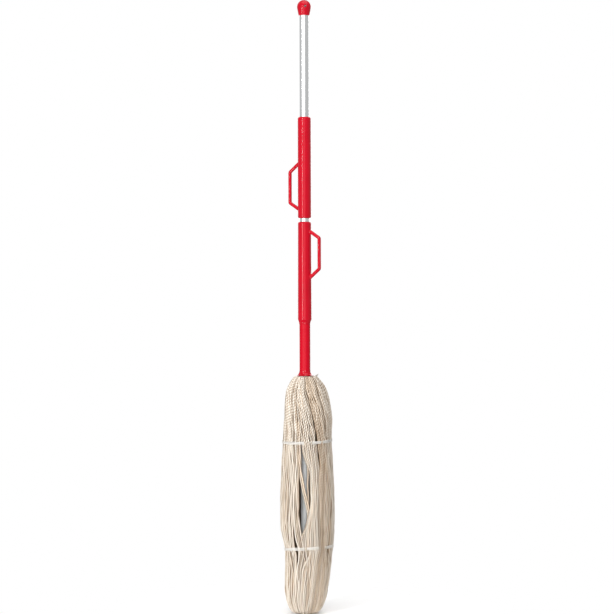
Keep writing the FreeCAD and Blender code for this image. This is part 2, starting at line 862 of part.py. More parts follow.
grip_bore = d["pipe_radius"] + d["fixed_gap"]
hang_hole_height = d["overall_height"] - d["knob_radius"]
upper_grip_foot = d["upper_grip_top"] - d["upper_grip_length"]
upper_screw = d["upper_grip_top"] - d["grip_lip"] - d["bush_length"] * 0.5
lower_grip_top = upper_grip_foot - d["grip_spacing"]
pipe_top = lower_grip_top - d["grip_lip"] - d["guide_flange"] - d["running_gap"] * 2.0
lower_screws = [pipe_top - d["guide_top_length"] - 12.0, lower_grip_top - d["lower_grip_length"] + 22.0]

make_pole()
make_knob()
make_hub()
make_upper_grip()
make_lower_grip()
make_pipe()
make_guides()
make_collar()
make_rivets()
wire_rings("collar_wire", d["spigot_radius"] + d["wire_radius"] + 0.4, d["spigot_foot"] + 14.0)
wire_rings("hub_wire", d["hub_core_radius"] + d["wire_radius"] + 0.4, d["hub_foot"] + d["hub_height"] * 0.5)
make_lower_yarn()
make_upper_yarn()
make_tie("upper_tie", d["tie_upper"])
make_tie("lower_tie", d["tie_lower"])

doc.recompute()
for thing in doc.Objects:
    if {"Invalid", "Error"} & set(thing.State):
        raise RuntimeError(f"{thing.Label} failed: {thing.State}")
os.makedirs("parts", exist_ok=True)
for thing in pieces:
    shape = thing.Shape
    if shape.isNull() or not shape.isValid() or not shape.Solids:
        raise RuntimeError(f"{thing.Label} has no valid solid")
    shape.exportStep(f"parts/{thing.Label}.step")
    box = shape.BoundBox
    print(f"{thing.Label:24s} {len(shape.Solids)} solid(s) {shape.Volume:12.1f} mm3  z {box.ZMin:8.1f} {box.ZMax:8.1f}")
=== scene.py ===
"""Looks of the string mop: cotton yarn, string ties, materials, floor, light and camera."""

import bpy
import math
import numpy as np
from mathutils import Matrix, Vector


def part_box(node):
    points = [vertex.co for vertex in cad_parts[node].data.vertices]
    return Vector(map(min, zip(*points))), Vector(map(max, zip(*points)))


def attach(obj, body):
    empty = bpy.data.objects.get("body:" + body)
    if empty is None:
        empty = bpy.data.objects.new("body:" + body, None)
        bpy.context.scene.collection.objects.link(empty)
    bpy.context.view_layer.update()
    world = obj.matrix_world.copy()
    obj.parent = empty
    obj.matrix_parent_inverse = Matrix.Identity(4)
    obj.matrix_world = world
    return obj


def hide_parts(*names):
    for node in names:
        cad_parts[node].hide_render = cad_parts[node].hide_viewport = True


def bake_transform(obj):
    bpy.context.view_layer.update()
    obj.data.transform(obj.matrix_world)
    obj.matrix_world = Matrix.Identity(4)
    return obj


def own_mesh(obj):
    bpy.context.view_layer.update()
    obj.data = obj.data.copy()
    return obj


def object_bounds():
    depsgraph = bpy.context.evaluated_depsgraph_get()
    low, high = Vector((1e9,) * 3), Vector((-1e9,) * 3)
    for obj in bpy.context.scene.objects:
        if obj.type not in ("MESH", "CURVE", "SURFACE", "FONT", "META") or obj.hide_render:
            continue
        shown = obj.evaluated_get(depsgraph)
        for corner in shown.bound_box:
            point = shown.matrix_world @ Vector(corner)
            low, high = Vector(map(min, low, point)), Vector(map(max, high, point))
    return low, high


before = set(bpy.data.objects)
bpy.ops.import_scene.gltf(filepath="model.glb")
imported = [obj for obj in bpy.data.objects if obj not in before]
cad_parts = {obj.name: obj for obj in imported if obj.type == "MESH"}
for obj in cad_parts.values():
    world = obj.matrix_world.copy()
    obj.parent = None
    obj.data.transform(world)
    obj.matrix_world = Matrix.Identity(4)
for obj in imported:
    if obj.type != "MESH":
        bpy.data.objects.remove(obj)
cad_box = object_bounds()
rng = np.random.default_rng(7)

# The side of the mop that the camera looks at, as an azimuth round the pole.
FRONT = math.radians(30.0)
RIGHT_WAY = np.array([math.cos(FRONT), math.sin(FRONT), 0.0])
FRONT_WAY = np.array([math.sin(FRONT), -math.cos(FRONT), 0.0])
UP_WAY = np.array([0.0, 0.0, 1.0])
FULL_TURN = 2 * math.pi

# ---------------------------------------------------------------- sizes taken from the frame

SKIRT_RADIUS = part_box("yarn_collar")[1].x
YARN_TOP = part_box("upper_yarn")[1].z
TIE_UPPER = (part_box("upper_tie")[0].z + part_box("upper_tie")[1].z) / 2
TIE_LOWER = (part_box("lower_tie")[0].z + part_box("lower_tie")[1].z) / 2
TIE_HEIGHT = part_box("upper_tie")[1].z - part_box("upper_tie")[0].z
HUB_MIDDLE = (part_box("hub_wire")[0].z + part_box("hub_wire")[1].z) / 2
HUB_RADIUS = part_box("yarn_hub")[1].x

# ---------------------------------------------------------------- yarn: sizes

# Strands: their thickness and number, and the locks that they are grouped into, one piece each.
STRAND = 0.0047
STRANDS = 196
LOCKS = 18

# A strand's plies, the length in which they turn once, the corners of its section and the step between
# its rings, and how far its valleys reach and its ridges rise beyond them, in shares of its half thickness.
PLIES = 3
LAY = 0.0200
SIDES = 12
RING_STEP = LAY / SIDES * 1
VALLEY_REACH, RIDGE_RISE = 0.78, 0.26

# Levels along a strand where its course is worked out, and rounds of pushing the strands apart.
LEVELS = 76
ROUNDS = 110

# How hard a strand is drawn back to its wanted course, and one that crosses the gap; how hard others push
# it, and the longest push; how hard it is drawn outwards; and how far each level goes to its neighbours.
SPRING, CROSSING_SPRING = 0.016, 0.30
PUSH, LONGEST_PUSH = 0.22, 0.002
OUTWARD_PULL = 0.03
SMOOTHING = 0.25

# A strand's side gets full painted shade where it faces out by less than the first share, and none where it
# faces out by more than the second.
SHADED_FACING, UNSHADED_FACING = 0.55, 0.90

TIE_THREAD = 0.0015
TIE_TURNS = 6
OVER_TIE_RISE = TIE_THREAD * 1.9


def random_phase(count=None):
    """One or more random places in a wave."""
    return rng.uniform(0, 6.3, count)


def wall_profile(*nodes, step=0.004, least_outward=0.3):
    """Heights and outer radii of the outward faces of those CAD nodes, from the lowest up."""
    heights, radii = [], []
    for name in nodes:
        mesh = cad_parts[name].data
        count = len(mesh.vertices)
        points = np.zeros(count * 3)
        normals = np.zeros(count * 3)
        mesh.vertices.foreach_get("co", points)
        mesh.vertices.foreach_get("normal", normals)
        points, normals = points.reshape(-1, 3), normals.reshape(-1, 3)
        radius = np.hypot(points[:, 0], points[:, 1])
        outward = (points[:, :2] * normals[:, :2]).sum(1) / np.maximum(radius, 1e-6)
        heights.append(points[outward > least_outward, 2])
        radii.append(radius[outward > least_outward])
    heights, radii = np.concatenate(heights), np.concatenate(radii)
    bins = np.round(heights / step).astype(int)
    levels = np.unique(bins)
    widest = np.array([radii[bins == level].max() for level in levels])
    return levels * step, widest


WALL = wall_profile("lower_yarn", "upper_yarn")


def wall(height):
    """The yarn's outer radius at that height."""
    return float(np.interp(height, *WALL))


def smooth_path(points, places):
    """Points of a curve through the given rows, at places counted in rows."""
    points = np.asarray(points, float)
    last = len(points) - 1
    start = np.clip(np.floor(places).astype(int), 0, last - 1)
    share = (places - start)[(...,) + (None,) * (points.ndim - 1)]
    before, after = np.maximum(start - 1, 0), np.minimum(start + 2, last)
    p0, p1, p2, p3 = points[before], points[start], points[start + 1], points[after]
    bend = (2 * p0 - 5 * p1 + 4 * p2 - p3) * share + (3 * p1 - p0 - 3 * p2 + p3) * share * share
    return p1 + 0.5 * share * ((p2 - p0) + bend)


def guide_lines():
    """Centre lines of the outermost and innermost strands, as (radius, height) level by level.

    They run from under the collar's skirt, over the shoulder, down the wall, round the foot and up to
    the hub. Each row is a point of the outermost line and the point of the innermost line inside it.
    """
    half = STRAND / 2
    rim, top, hub = SKIRT_RADIUS, YARN_TOP - half, HUB_RADIUS + half
    rows = [
        ((rim - 0.0020, top), (rim - 0.0040, top - 0.008)),
        ((rim + 0.0030, top + 0.0001), (rim - 0.0030, top - 0.014)),
        ((rim + 0.0072, top - 0.0016), (rim - 0.0010, top - 0.020)),
        ((rim + 0.0105, top - 0.0060), (rim + 0.0010, top - 0.026)),
    ]
    # Down the wall: height, how deep the yarn is there, and how much higher its innermost point lies.
    wall_rows = (
        (0.564, 0.0115, -0.021),
        (0.546, 0.0125, -0.016),
        (0.519, 0.0115, -0.010),
        (0.480, 0.0140, -0.006),
        (0.416, 0.0135, -0.002),
        (0.372, 0.0135, 0.000),
        (0.289, 0.0135, 0.000),
        (0.206, 0.0135, 0.001),
        (0.153, 0.0130, 0.002),
        (0.093, 0.0130, 0.005),
        (0.050, 0.0095, 0.008),
        (0.028, 0.0100, 0.013),
    )
    for height, depth, rise in wall_rows:
        radius = wall(height) - half
        rows.append(((radius, height), (radius - depth, height + rise)))
    rows += [
        ((0.0385, 0.0150), (0.0345, 0.0340)),
        ((0.0335, 0.0072), (0.0318, 0.0295)),
        ((0.0280, 0.0032), (0.0297, 0.0268)),
        ((0.0225, half + 0.0001), (0.0280, 0.0258)),
        ((0.0190, 0.0045), (0.0262, 0.0270)),
        ((hub, 0.0120), (0.0250, 0.0320)),
        ((hub, 0.0300), (0.0240, 0.0420)),
        ((hub, HUB_MIDDLE), (0.0235, HUB_MIDDLE)),
    ]
    fine = smooth_path(np.array(rows), np.linspace(0, len(rows) - 1, 2000))
    middle = fine.mean(1)
    along = np.concatenate([[0], np.cumsum(np.hypot(*np.diff(middle, axis=0).T))])
    even = np.linspace(0, along[-1], LEVELS)
    lines = np.array([[np.interp(even, along, fine[:, k, c]) for c in (0, 1)] for k in (0, 1)])
    return lines[0].T, lines[1].T, along[-1]


OUTER, INNER, YARN_LENGTH = guide_lines()
HEIGHT = (OUTER[:, 1] + INNER[:, 1]) / 2
DEPTH = np.hypot(*(OUTER - INNER).T)
# The number of the lowest level. Down to it heights fall steadily, so things can be looked up by height.
WALL_END = int(np.argmin(OUTER[:, 1]))


def by_height(table):
    """Values at the levels' heights, from (height, value) rows listed from the top down."""
    rows = np.array(table)[::-1]
    return np.interp(OUTER[:, 1], rows[:, 0], rows[:, 1])


def eased(values, rounds=3):
    """A level-by-level list with its corners softened."""
    values = np.array(values, float)
    for _ in range(rounds):
        values[1:-1] = (values[:-2] + 2 * values[1:-1] + values[2:]) / 4
    return values


# How far the yarn hangs to the right of the pole, as (height, distance), and how far its front strands lean
# over to the right, as (height, degrees round the pole).
SWAY = eased(
    by_height(
        [
            (0.580, 0.0015),
            (0.530, 0.0050),
            (0.481, 0.0080),
            (0.422, 0.0050),
            (0.207, 0.0050),
            (0.155, 0.0090),
            (0.094, 0.0050),
            (0.050, 0.0015),
            (0.000, 0.0000),
        ]
    )
)
SWAY[WALL_END:] = 0.0
LEAN = np.radians(
    eased(
        by_height(
            [
                (0.560, 0.0),
                (0.536, 1.0),
                (0.518, 6.5),
                (0.483, 12.0),
                (0.427, 25.0),
                (0.366, 31.0),
                (0.000, 27.0),
            ]
        )
    )
)
LEAN[WALL_END:] = LEAN[WALL_END]

# Strands that cross the gap, as (height, distance right of the pole) from the top down.
CROSSINGS = (
    (
        (0.570, -0.0120),
        (0.440, -0.0160),
        (0.373, -0.0140),
        (0.342, -0.0093),
        (0.267, 0.0070),
        (0.245, 0.0120),
        (0.000, 0.0160),
    ),
    (
        (0.570, -0.0090),
        (0.440, -0.0130),
        (0.350, -0.0125),
        (0.324, -0.0110),
        (0.290, -0.0030),
        (0.262, 0.0065),
        (0.000, 0.0120),
    ),
    (
        (0.570, -0.0030),
        (0.440, 0.0010),
        (0.380, 0.0060),
        (0.329, 0.0065),
        (0.243, 0.0075),
        (0.000, 0.0090),
    ),
)

# Two partings in the yarn, as (height, distance right of the pole, half width).
SLIT = (
    (0.545, 0.0040, 0.0000),
    (0.527, 0.0072, 0.0001),
    (0.488, 0.0168, 0.0003),
    (0.443, 0.0262, 0.0008),
    (0.410, 0.0295, 0.0010),
    (0.385, 0.0325, 0.0006),
    (0.365, 0.0345, 0.0000),
)
GAP = (
    (0.395, -0.0100, 0.0000),
    (0.380, -0.0092, 0.0004),
    (0.370, -0.0055, 0.0035),
    (0.360, -0.0008, 0.0085),
    (0.335, 0.0006, 0.0105),
    (0.285, 0.0012, 0.0110),
    (0.262, 0.0012, 0.0095),
    (0.242, 0.0010, 0.0050),
    (0.228, 0.0008, 0.0015),
    (0.216, 0.0006, 0.0000),
)


def parting(rows):
    """Level numbers, centre angles and half widths of a parting."""
    rows = np.array(rows)[::-1]
    heights = OUTER[:WALL_END, 1]
    levels = np.nonzero((heights < rows[-1, 0]) & (heights > rows[0, 0]))[0]
    middle = np.interp(heights[levels], rows[:, 0], rows[:, 1]) - SWAY[levels]
    half = np.interp(heights[levels], rows[:, 0], rows[:, 2])
    return levels, middle, half


def wave_noise(angles, heights, counts, size, slant=12.0):
    """A smooth random shift over angle and height, of waves with those numbers of crests round the mop."""
    total = np.zeros(np.broadcast(angles, heights).shape)
    for count in counts:
        turn, climb = rng.uniform(0, FULL_TURN), rng.normal(0, slant)
        total += size / count * np.sin(count * angles + turn + climb * heights)
    return total


def start_angles(unevenness=0.35):
    """The strands' angles at the collar, nearly evenly spaced."""
    even = np.linspace(-math.pi, math.pi, STRANDS, endpoint=False)
    return even + rng.normal(0, unevenness, STRANDS) * FULL_TURN / STRANDS


def front_turn(lateral, radius):
    """The angle of a point on the yarn's front that lies that far to the right of the yarn's middle."""
    return np.arcsin(np.clip(lateral / radius, -0.95, 0.95))


def crossing_turns(start):
    """The angles of the strands that cross the gap: each course goes to the strand that starts nearest."""
    found = {}
    for rows in CROSSINGS:
        path = front_turn(eased(by_height(rows), 4) - SWAY, OUTER[:, 0])
        path[WALL_END:] = path[WALL_END]
        free = [i for i in np.argsort(np.abs(start - path[0])) if i not in found]
        found[free[0]] = path
    return found


def tight_ends(along):
    """The share of a strand's thickness that its binding leaves it, from the collar 0 to the hub 1."""
    return np.minimum(1.0, np.minimum(0.72 + along * 9, 0.62 + (1 - along) * 4.2))


def wanted_turns(start):
    """The angle that each strand would take at every level if it were alone."""
    middle, left_width, right_width = math.radians(-3.0), math.radians(50.0), math.radians(75.0)
    away = (start - middle) / np.where(start < middle, left_width, right_width)
    turn = start[None, :] + LEAN[:, None] * np.exp(-(away**2))[None, :]
    turn = turn + wave_noise(turn, OUTER[:, 1:2], (7, 11, 16, 23, 31, 43, 61), size=0.42)

    # Below the lower tie the strands lie less in order.
    loose = np.clip((TIE_LOWER - OUTER[:, 1:2]) / 0.05, 0, 1)
    turn = turn + loose * wave_noise(turn, OUTER[:, 1:2], (8, 13, 19, 27, 36, 47), size=0.30, slant=24.0)
    turn = turn + loose * rng.normal(0, 0.22, STRANDS)

    # Each strand drifts slowly to one side and back, and a few drift much further.
    drift = rng.normal(0, 0.030, STRANDS)
    drift[rng.choice(STRANDS, 14, replace=False)] *= 4.0
    waver = np.sin(np.linspace(0.2, 1.2, LEVELS)[:, None] * math.pi * 1.6 + rng.normal(0, 0.5, STRANDS))
    return turn + drift[None, :] * waver


def parting_sides(turn, free):
    """For each parting, its levels, centre and half width, free strands in front, and all right of it."""
    sides = []
    for rows in (SLIT, GAP):
        levels, middle, half = parting(rows)
        first = levels[0]
        lateral = OUTER[first, 0] * np.sin(turn[first])
        front = (np.cos(turn[first]) > 0.1) & free
        sides.append((levels, middle, half, front, lateral > middle[0]))
    return sides


def pushes(turn, depth, radius, reach, room):
    """How far round and how far out the others push each strand, at every level, in metres."""
    swing = turn[:, :, None] - turn[:, None, :]
    swing -= FULL_TURN * np.round(swing / FULL_TURN)
    swing *= 0.5 * (radius[:, :, None] + radius[:, None, :])
    sink = (depth[:, :, None] - depth[:, None, :]) * reach
    space = np.sqrt(swing * swing + sink * sink + 1e-12)
    push = np.clip(room / space - 1.0, 0.0, 3.0) * PUSH
    push[:, np.arange(STRANDS), np.arange(STRANDS)] = 0.0
    limits = (-LONGEST_PUSH, LONGEST_PUSH)
    return np.clip((push * swing).sum(2), *limits), np.clip((push * sink).sum(2), *limits)


def keep_partings_open(turn, radius, sides):
    """Moves the strands beside each parting to its edges, wherever they have come into it."""
    for levels, middle, half, front, right in sides:
        edge = half + STRAND * 0.5
        radius_there = radius[levels]
        high = front_turn((middle + edge)[:, None], radius_there)
        low = front_turn((middle - edge)[:, None], radius_there)
        here = turn[levels]
        here = np.where(front & right, np.maximum(here, high), here)
        here = np.where(front & ~right, np.minimum(here, low), here)
        turn[levels] = here


def evened(rows):
    """Moves every level but the first and last some way to the mean of its neighbours."""
    rows[1:-1] += SMOOTHING * (rows[:-2] + rows[2:] - 2 * rows[1:-1])
    return rows


def lay_strands():
    """Angles and depths of all strands at every level, pushed apart until they lie side by side.

    A depth is 0 on the innermost guide line and 1 on the outermost.
    """
    start = start_angles()
    turn = wanted_turns(start)
    spring = np.full((1, STRANDS), SPRING)
    free = np.ones(STRANDS, bool)
    for strand, path in crossing_turns(start).items():
        turn[:, strand] = path
        spring[0, strand] = CROSSING_SPRING
        free[strand] = False
    target = turn.copy()
    depth = np.tile(rng.uniform(0.1, 1.0, STRANDS) ** 0.5, (LEVELS, 1))
    limit = 1.0 + rng.normal(0, 0.022, STRANDS)[None, :]
    sides = parting_sides(turn, free)
    room = STRAND * 0.97 * tight_ends(np.linspace(0, 1, LEVELS))

    turn, depth = turn.astype(np.float32), depth.astype(np.float32)
    reach = DEPTH.astype(np.float32)[:, None, None]
    room = room.astype(np.float32)[:, None, None]
    for _ in range(ROUNDS):
        radius = (INNER[:, 0:1] + (OUTER[:, 0:1] - INNER[:, 0:1]) * depth).astype(np.float32)
        round_push, out_push = pushes(turn, depth, radius, reach, room)
        turn = turn + round_push / radius
        depth = depth + out_push / reach[:, :, 0]
        turn += (target - turn) * spring
        depth += (limit - depth) * OUTWARD_PULL
        keep_partings_open(turn, radius, sides)
        turn = (target + evened(turn - target)).astype(np.float32)
        depth = np.clip(evened(depth), 0.0, limit).astype(np.float32)
    return turn.astype(float), depth.astype(float)


def over_tie(turn, depth, height, left, right):
    """Which strands pass over a tie, and how far they rise over it at every level, from 0 to 1.

    They are the outermost ones on its front between two distances right of the pole, and a few anywhere.
    """
    share_anywhere, outermost, rise_reach = 0.07, 0.72, 0.011
    level = int(np.abs(OUTER[:WALL_END, 1] - height).argmin())
    lateral = OUTER[level, 0] * np.sin(turn[level]) + SWAY[level]
    across = (lateral > left) & (lateral < right) & (np.cos(turn[level]) > 0)
    anywhere = rng.random(STRANDS) < share_anywhere
    over = (across | anywhere) & (depth[level] > outermost)
    rise = np.exp(-(((OUTER[:, 1] - height) / rise_reach) ** 2))
    rise[WALL_END:] = 0.0
    return over, rise[:, None] * over[None, :]


def strand_points(turn, depth, rise):
    """The strands' centre points in the frame, level by level, with rise 1 where one passes over a tie."""
    line = INNER[:, None, :] + (OUTER - INNER)[:, None, :] * depth[:, :, None]
    radius, height = line[:, :, 0] + rise * OVER_TIE_RISE, line[:, :, 1]
    side = radius * np.sin(turn) + SWAY[:, None]
    front = radius * np.cos(turn)
    points = side[:, :, None] * RIGHT_WAY + front[:, :, None] * FRONT_WAY
    points[:, :, 2] = height
    return points


def unit(vectors):
    """The same directions, each of length 1."""
    return vectors / np.maximum(np.linalg.norm(vectors, axis=-1, keepdims=True), 1e-12)


def rolled_frames(points):
    """Two directions square to each strand at every ring, carried along without twist."""
    ahead = unit(np.gradient(points, axis=0))
    across = np.empty_like(points)
    any_way = np.array([0.31, 0.17, 0.93])
    across[0] = unit(np.cross(ahead[0], any_way))
    for ring in range(1, len(points)):
        carried = across[ring - 1]
        carried = carried - (carried * ahead[ring]).sum(-1, keepdims=True) * ahead[ring]
        across[ring] = unit(carried)
    return across, np.cross(ahead, across)


def tube_mesh(name, rings, tone):
    """Closed tubes from ring points of shape (rings, tubes, sides, 3), with three tones for each point.

    The tones are how warm its colour is, how proud it stands, and how pale its strand is. The colour takes
    painted shade from the last two, and the innermost strands' painted shade also makes them warmer.
    """
    count, tubes, sides, _ = rings.shape
    points = rings.transpose(1, 0, 2, 3).reshape(-1, 3)
    base = np.arange(tubes)[:, None, None] * count * sides + np.arange(count - 1)[None, :, None] * sides
    here = np.arange(sides)[None, None, :]
    there = (here + 1) % sides
    quads = np.stack([base + here, base + there, base + sides + there, base + sides + here], -1)
    quads = quads.reshape(-1, 4)
    starts = np.arange(tubes)[:, None] * count * sides
    foot = starts + np.arange(sides)[::-1][None, :]
    head = starts + (count - 1) * sides + np.arange(sides)[None, :]
    corners = np.concatenate([quads.ravel(), foot.ravel(), head.ravel()])
    totals = np.concatenate([np.full(len(quads), 4), np.full(2 * tubes, sides)])
    mesh = bpy.data.meshes.new(name)
    mesh.vertices.add(len(points))
    mesh.vertices.foreach_set("co", points.astype(np.float32).ravel())
    mesh.loops.add(len(corners))
    mesh.loops.foreach_set("vertex_index", corners.astype(np.int32))
    mesh.polygons.add(len(totals))
    mesh.polygons.foreach_set("loop_start", np.concatenate([[0], np.cumsum(totals)[:-1]]).astype(np.int32))
    mesh.polygons.foreach_set("use_smooth", np.ones(len(totals), bool))
    values = np.ones((tubes, count, sides, 4), np.float32)
    values[..., :3] = tone.transpose(1, 0, 2, 3)
    attribute = mesh.attributes.new("tone", "FLOAT_COLOR", "POINT")
    attribute.data.foreach_set("color", values.ravel())
    mesh.update(calc_edges=True)
    piece = bpy.data.objects.new(name, mesh)
    bpy.context.scene.collection.objects.link(piece)
    return piece


def plied_rings(points, thickness, phase, lay=LAY, plies=PLIES, sides=SIDES):
    """Ring points of plied yarn round centre lines, and how proud each stands, from valley 0 to ridge 1,
    which sets painted shade in the colour.
    """
    across, up = rolled_frames(points)
    count = len(points)
    step = np.linalg.norm(np.diff(points, axis=0), axis=-1).mean()
    twist = FULL_TURN * step / lay
    angle = np.arange(count)[:, None, None] * twist + phase[None, :, None]
    angle = angle + np.arange(sides)[None, None, :] * (FULL_TURN / sides)
    section = np.abs(np.cos(np.arange(sides) * math.pi * plies / sides))
    reach = (VALLEY_REACH + RIDGE_RISE * section)[None, None, :] * thickness[:, :, None] / 2
    rings = (
        points[:, :, None, :]
        + across[:, :, None, :] * (np.cos(angle) * reach)[..., None]
        + up[:, :, None, :] * (np.sin(angle) * reach)[..., None]
    )
    proud = np.broadcast_to(section[None, None, :], reach.shape)
    return rings, proud


def side_light_share(points, rings):
    """How open each ring point is, from 0 where it faces a strand or the pole to 1 where it faces out. The
    yarn's colour gets painted shade where it is low.
    """
    radial = points * (1.0 - UP_WAY)
    heading = unit(np.gradient(points, axis=0))
    outward = unit(radial - (radial * heading).sum(-1, keepdims=True) * heading)[:, :, None, :]
    facing = (unit(rings - points[:, :, None, :]) * outward).sum(-1)
    return np.clip((facing - SHADED_FACING) / (UNSHADED_FACING - SHADED_FACING), 0, 1)


def wavered(points, along):
    """The strands' points, each strand with a small waver of its own, and none of them below the floor."""
    wave_lengths, wave_size, lowest = (0.024, 0.041, 0.075), 0.006, STRAND * 0.55
    across, up = rolled_frames(points)
    for way in (across, up):
        for length in wave_lengths:
            wave = np.sin(along * YARN_LENGTH / length * FULL_TURN + random_phase(STRANDS))
            points = points + way * (wave * length * wave_size)[..., None]
    points[:, :, 2] = np.maximum(points[:, :, 2], lowest)
    return points


def strand_tones(along, proud, turn, depth):
    """For every ring point, its strand's warmth, how proud it stands, and how pale its strand is.

    One lock at the front right is warmer than the rest. The innermost strands get painted shade: they are
    made warmer and darker, as they lie in the outer strands' shade.
    """
    lock_middle, lock_reach = 35.0, 6.5
    in_warm_lock = np.abs(np.degrees(turn) - lock_middle) < lock_reach
    warmth = rng.beta(1.6, 3.2, STRANDS)[None, :] + 0.06 * np.sin(along * 9 + random_phase(STRANDS))
    warmth = np.where(in_warm_lock[None, :], 0.62 + 0.3 * warmth, warmth)
    darkness = rng.beta(1.1, 3.2, STRANDS)[None, :]
    paleness_and_shade = 1 - darkness + 0.06 * np.sin(along * 14 + random_phase(STRANDS))
    # Painted shade: strands that lie deep under the outer ones are made warmer and darker.
    inner_shade = np.clip((0.62 - depth) / 0.3, 0, 1)
    warmth, paleness_and_shade = warmth + 0.6 * inner_shade, paleness_and_shade - 0.85 * inner_shade
    warmth = np.broadcast_to(warmth[:, :, None], proud.shape)
    paleness_and_shade = np.broadcast_to(paleness_and_shade[:, :, None], proud.shape)
    return np.stack([warmth, proud, paleness_and_shade], -1)


def make_strands():
    """All strands: centre points, ring points with their tones, angles, and which pass over each tie."""
    turn, depth = lay_strands()
    over_upper, rise_upper = over_tie(turn, depth, TIE_UPPER, left=-0.002, right=0.012)
    over_lower, rise_lower = over_tie(turn, depth, TIE_LOWER, left=0.033, right=0.046)
    levels = strand_points(turn, depth, rise_upper + rise_lower)
    count = int(YARN_LENGTH / RING_STEP)
    points = smooth_path(levels, np.linspace(0, LEVELS - 1, count))
    along = np.linspace(0, 1, count)[:, None]
    points = wavered(points, along)
    slub = 1 + 0.04 * np.sin(along * rng.uniform(25, 60, STRANDS) + random_phase(STRANDS))
    thickness = STRAND * rng.normal(0.95, 0.05, STRANDS).clip(0.85, 1.06) * slub * tight_ends(along)
    rings, proud = plied_rings(points, thickness, random_phase(STRANDS))
    # Painted shade: where a strand faces another strand or the pole, its colour is darkened as in a ply
    # valley.
    proud = proud * side_light_share(points, rings)

    # A strand's tones and its lock go by its place at one level near the yarn's middle.
    middle_height = 0.25
    middle = int(np.argmin(np.abs(HEIGHT[:WALL_END] - middle_height)))
    tone = strand_tones(along, proud, turn[middle], depth[middle])
    return points, rings, tone, turn[middle], over_upper, over_lower


def convex_outline(points, margin, samples=160):
    """Points of the taut line round a set of (x, y) points, that far outside them."""
    angles = np.linspace(0, FULL_TURN, samples, endpoint=False)
    ways = np.stack([np.cos(angles), np.sin(angles)], -1)
    support = (points @ ways.T).max(0) + margin
    slope = (np.roll(support, -1) - np.roll(support, 1)) / (angles[2] - angles[0])
    return ways * support[:, None] + np.stack([-ways[:, 1], ways[:, 0]], -1) * slope[:, None]


def even_tone(proud, warmth):
    """The tones of pale yarn that is equally warm all over."""
    return np.stack([np.full(proud.shape, warmth), proud, np.ones(proud.shape)], -1)


def string_tubes(name, lines, phase):
    """Thin two-ply string along centre lines of shape (points, lines, 3)."""
    thickness = np.full(lines.shape[:2], TIE_THREAD)
    rings, proud = plied_rings(lines, thickness, phase, lay=TIE_THREAD * 4.2, plies=2, sides=8)
    return tube_mesh(name, rings, even_tone(proud, warmth=0.3))


def make_tie(name, height, strands, right_rise, front_rise):
    """A few turns of thin plied string pulled round the yarn, side by side, and its knot at the back.

    The tie stands higher by right_rise at the right of the yarn, and by front_rise at its front.
    """
    near = np.abs(strands[:, :, 2] - height).argmin(0)
    centres = strands[near, np.arange(strands.shape[1]), :2]
    loops = []
    for i in range(TIE_TURNS):
        outline = convex_outline(centres, STRAND * 0.5 + TIE_THREAD * rng.uniform(0.2, 0.5))
        rise = (i - (TIE_TURNS - 1) / 2) * (TIE_HEIGHT - TIE_THREAD) / (TIE_TURNS - 1)
        angle = np.arctan2(outline[:, 1], outline[:, 0])
        wander = 0.0004 * np.sin(3 * angle + random_phase())
        wander = wander + 0.0003 * np.sin(7 * angle + random_phase())
        tilt = outline @ (right_rise * RIGHT_WAY[:2] + front_rise * FRONT_WAY[:2]) / np.abs(outline).max()
        loop = np.column_stack([outline, height + rise + wander + tilt])
        loops.append(np.vstack([loop, loop[:1]]))
    lines = np.stack(loops, 1)
    finer = 3
    places = np.linspace(0, len(lines) - 1, (len(lines) - 1) * finer + 1)
    tie = string_tubes(name, smooth_path(lines, places), random_phase(TIE_TURNS))
    back = loops[0][np.argmin(loops[0][:, :2] @ FRONT_WAY[:2])]
    return tie, make_knot(name + "_knot", back)


def make_knot(name, spot):
    """An overhand knot, drawn as a trefoil curve, and two short tails, just outside the tie at that spot."""
    outward = unit(np.array([spot[0], spot[1], 0.0]))
    sideways = np.array([-outward[1], outward[0], 0.0])
    centre = spot + outward * TIE_THREAD * 1.2
    samples = 90
    angle = np.linspace(0, FULL_TURN, samples)
    size = TIE_THREAD * 0.95
    knot = (
        sideways * (np.sin(angle) + 2 * np.sin(2 * angle))[:, None] * size * 0.62
        + UP_WAY * (np.cos(angle) - 2 * np.cos(2 * angle))[:, None] * size * 0.62
        - outward * np.sin(3 * angle)[:, None] * size * 0.75
    )
    lines = [centre + knot]
    run = np.linspace(0, 1, samples)[:, None]
    for side in (-1, 1):
        tail = sideways * side * (0.001 + 0.009 * run) - UP_WAY * (0.016 * run**1.6)
        lines.append(centre + tail + outward * (0.0012 * np.sin(run * 4)))
    return string_tubes(name, np.stack(lines, 1), random_phase(len(lines)))


def make_tuft(count=9, samples=24, root_thickness=0.0022):
    """Short yarn ends that stick out beside the collar's skirt, on its right."""
    run = np.linspace(0, 1, samples)[:, None]
    lines = []
    for _ in range(count):
        turn = math.radians(90 + rng.uniform(-22, 14))
        way = RIGHT_WAY * math.sin(turn) + FRONT_WAY * math.cos(turn)
        start = way * (SKIRT_RADIUS - 0.002) + UP_WAY * (YARN_TOP - 0.004)
        reach, climb = rng.uniform(0.010, 0.017), rng.uniform(0.003, 0.009)
        curl = RIGHT_WAY * rng.normal(0, 0.001) + FRONT_WAY * rng.normal(0, 0.002)
        line = start + way * reach * run + UP_WAY * climb * run**0.8
        lines.append(line + curl * np.sin(run * 5))
    lines = np.stack(lines, 1)
    thickness = root_thickness * (1 - 0.45 * run) * np.ones((1, count))
    rings, proud = plied_rings(lines, thickness, random_phase(count), LAY * 0.7)
    return tube_mesh("yarn_ends", rings, even_tone(proud, warmth=0.1))


# ---------------------------------------------------------------- materials


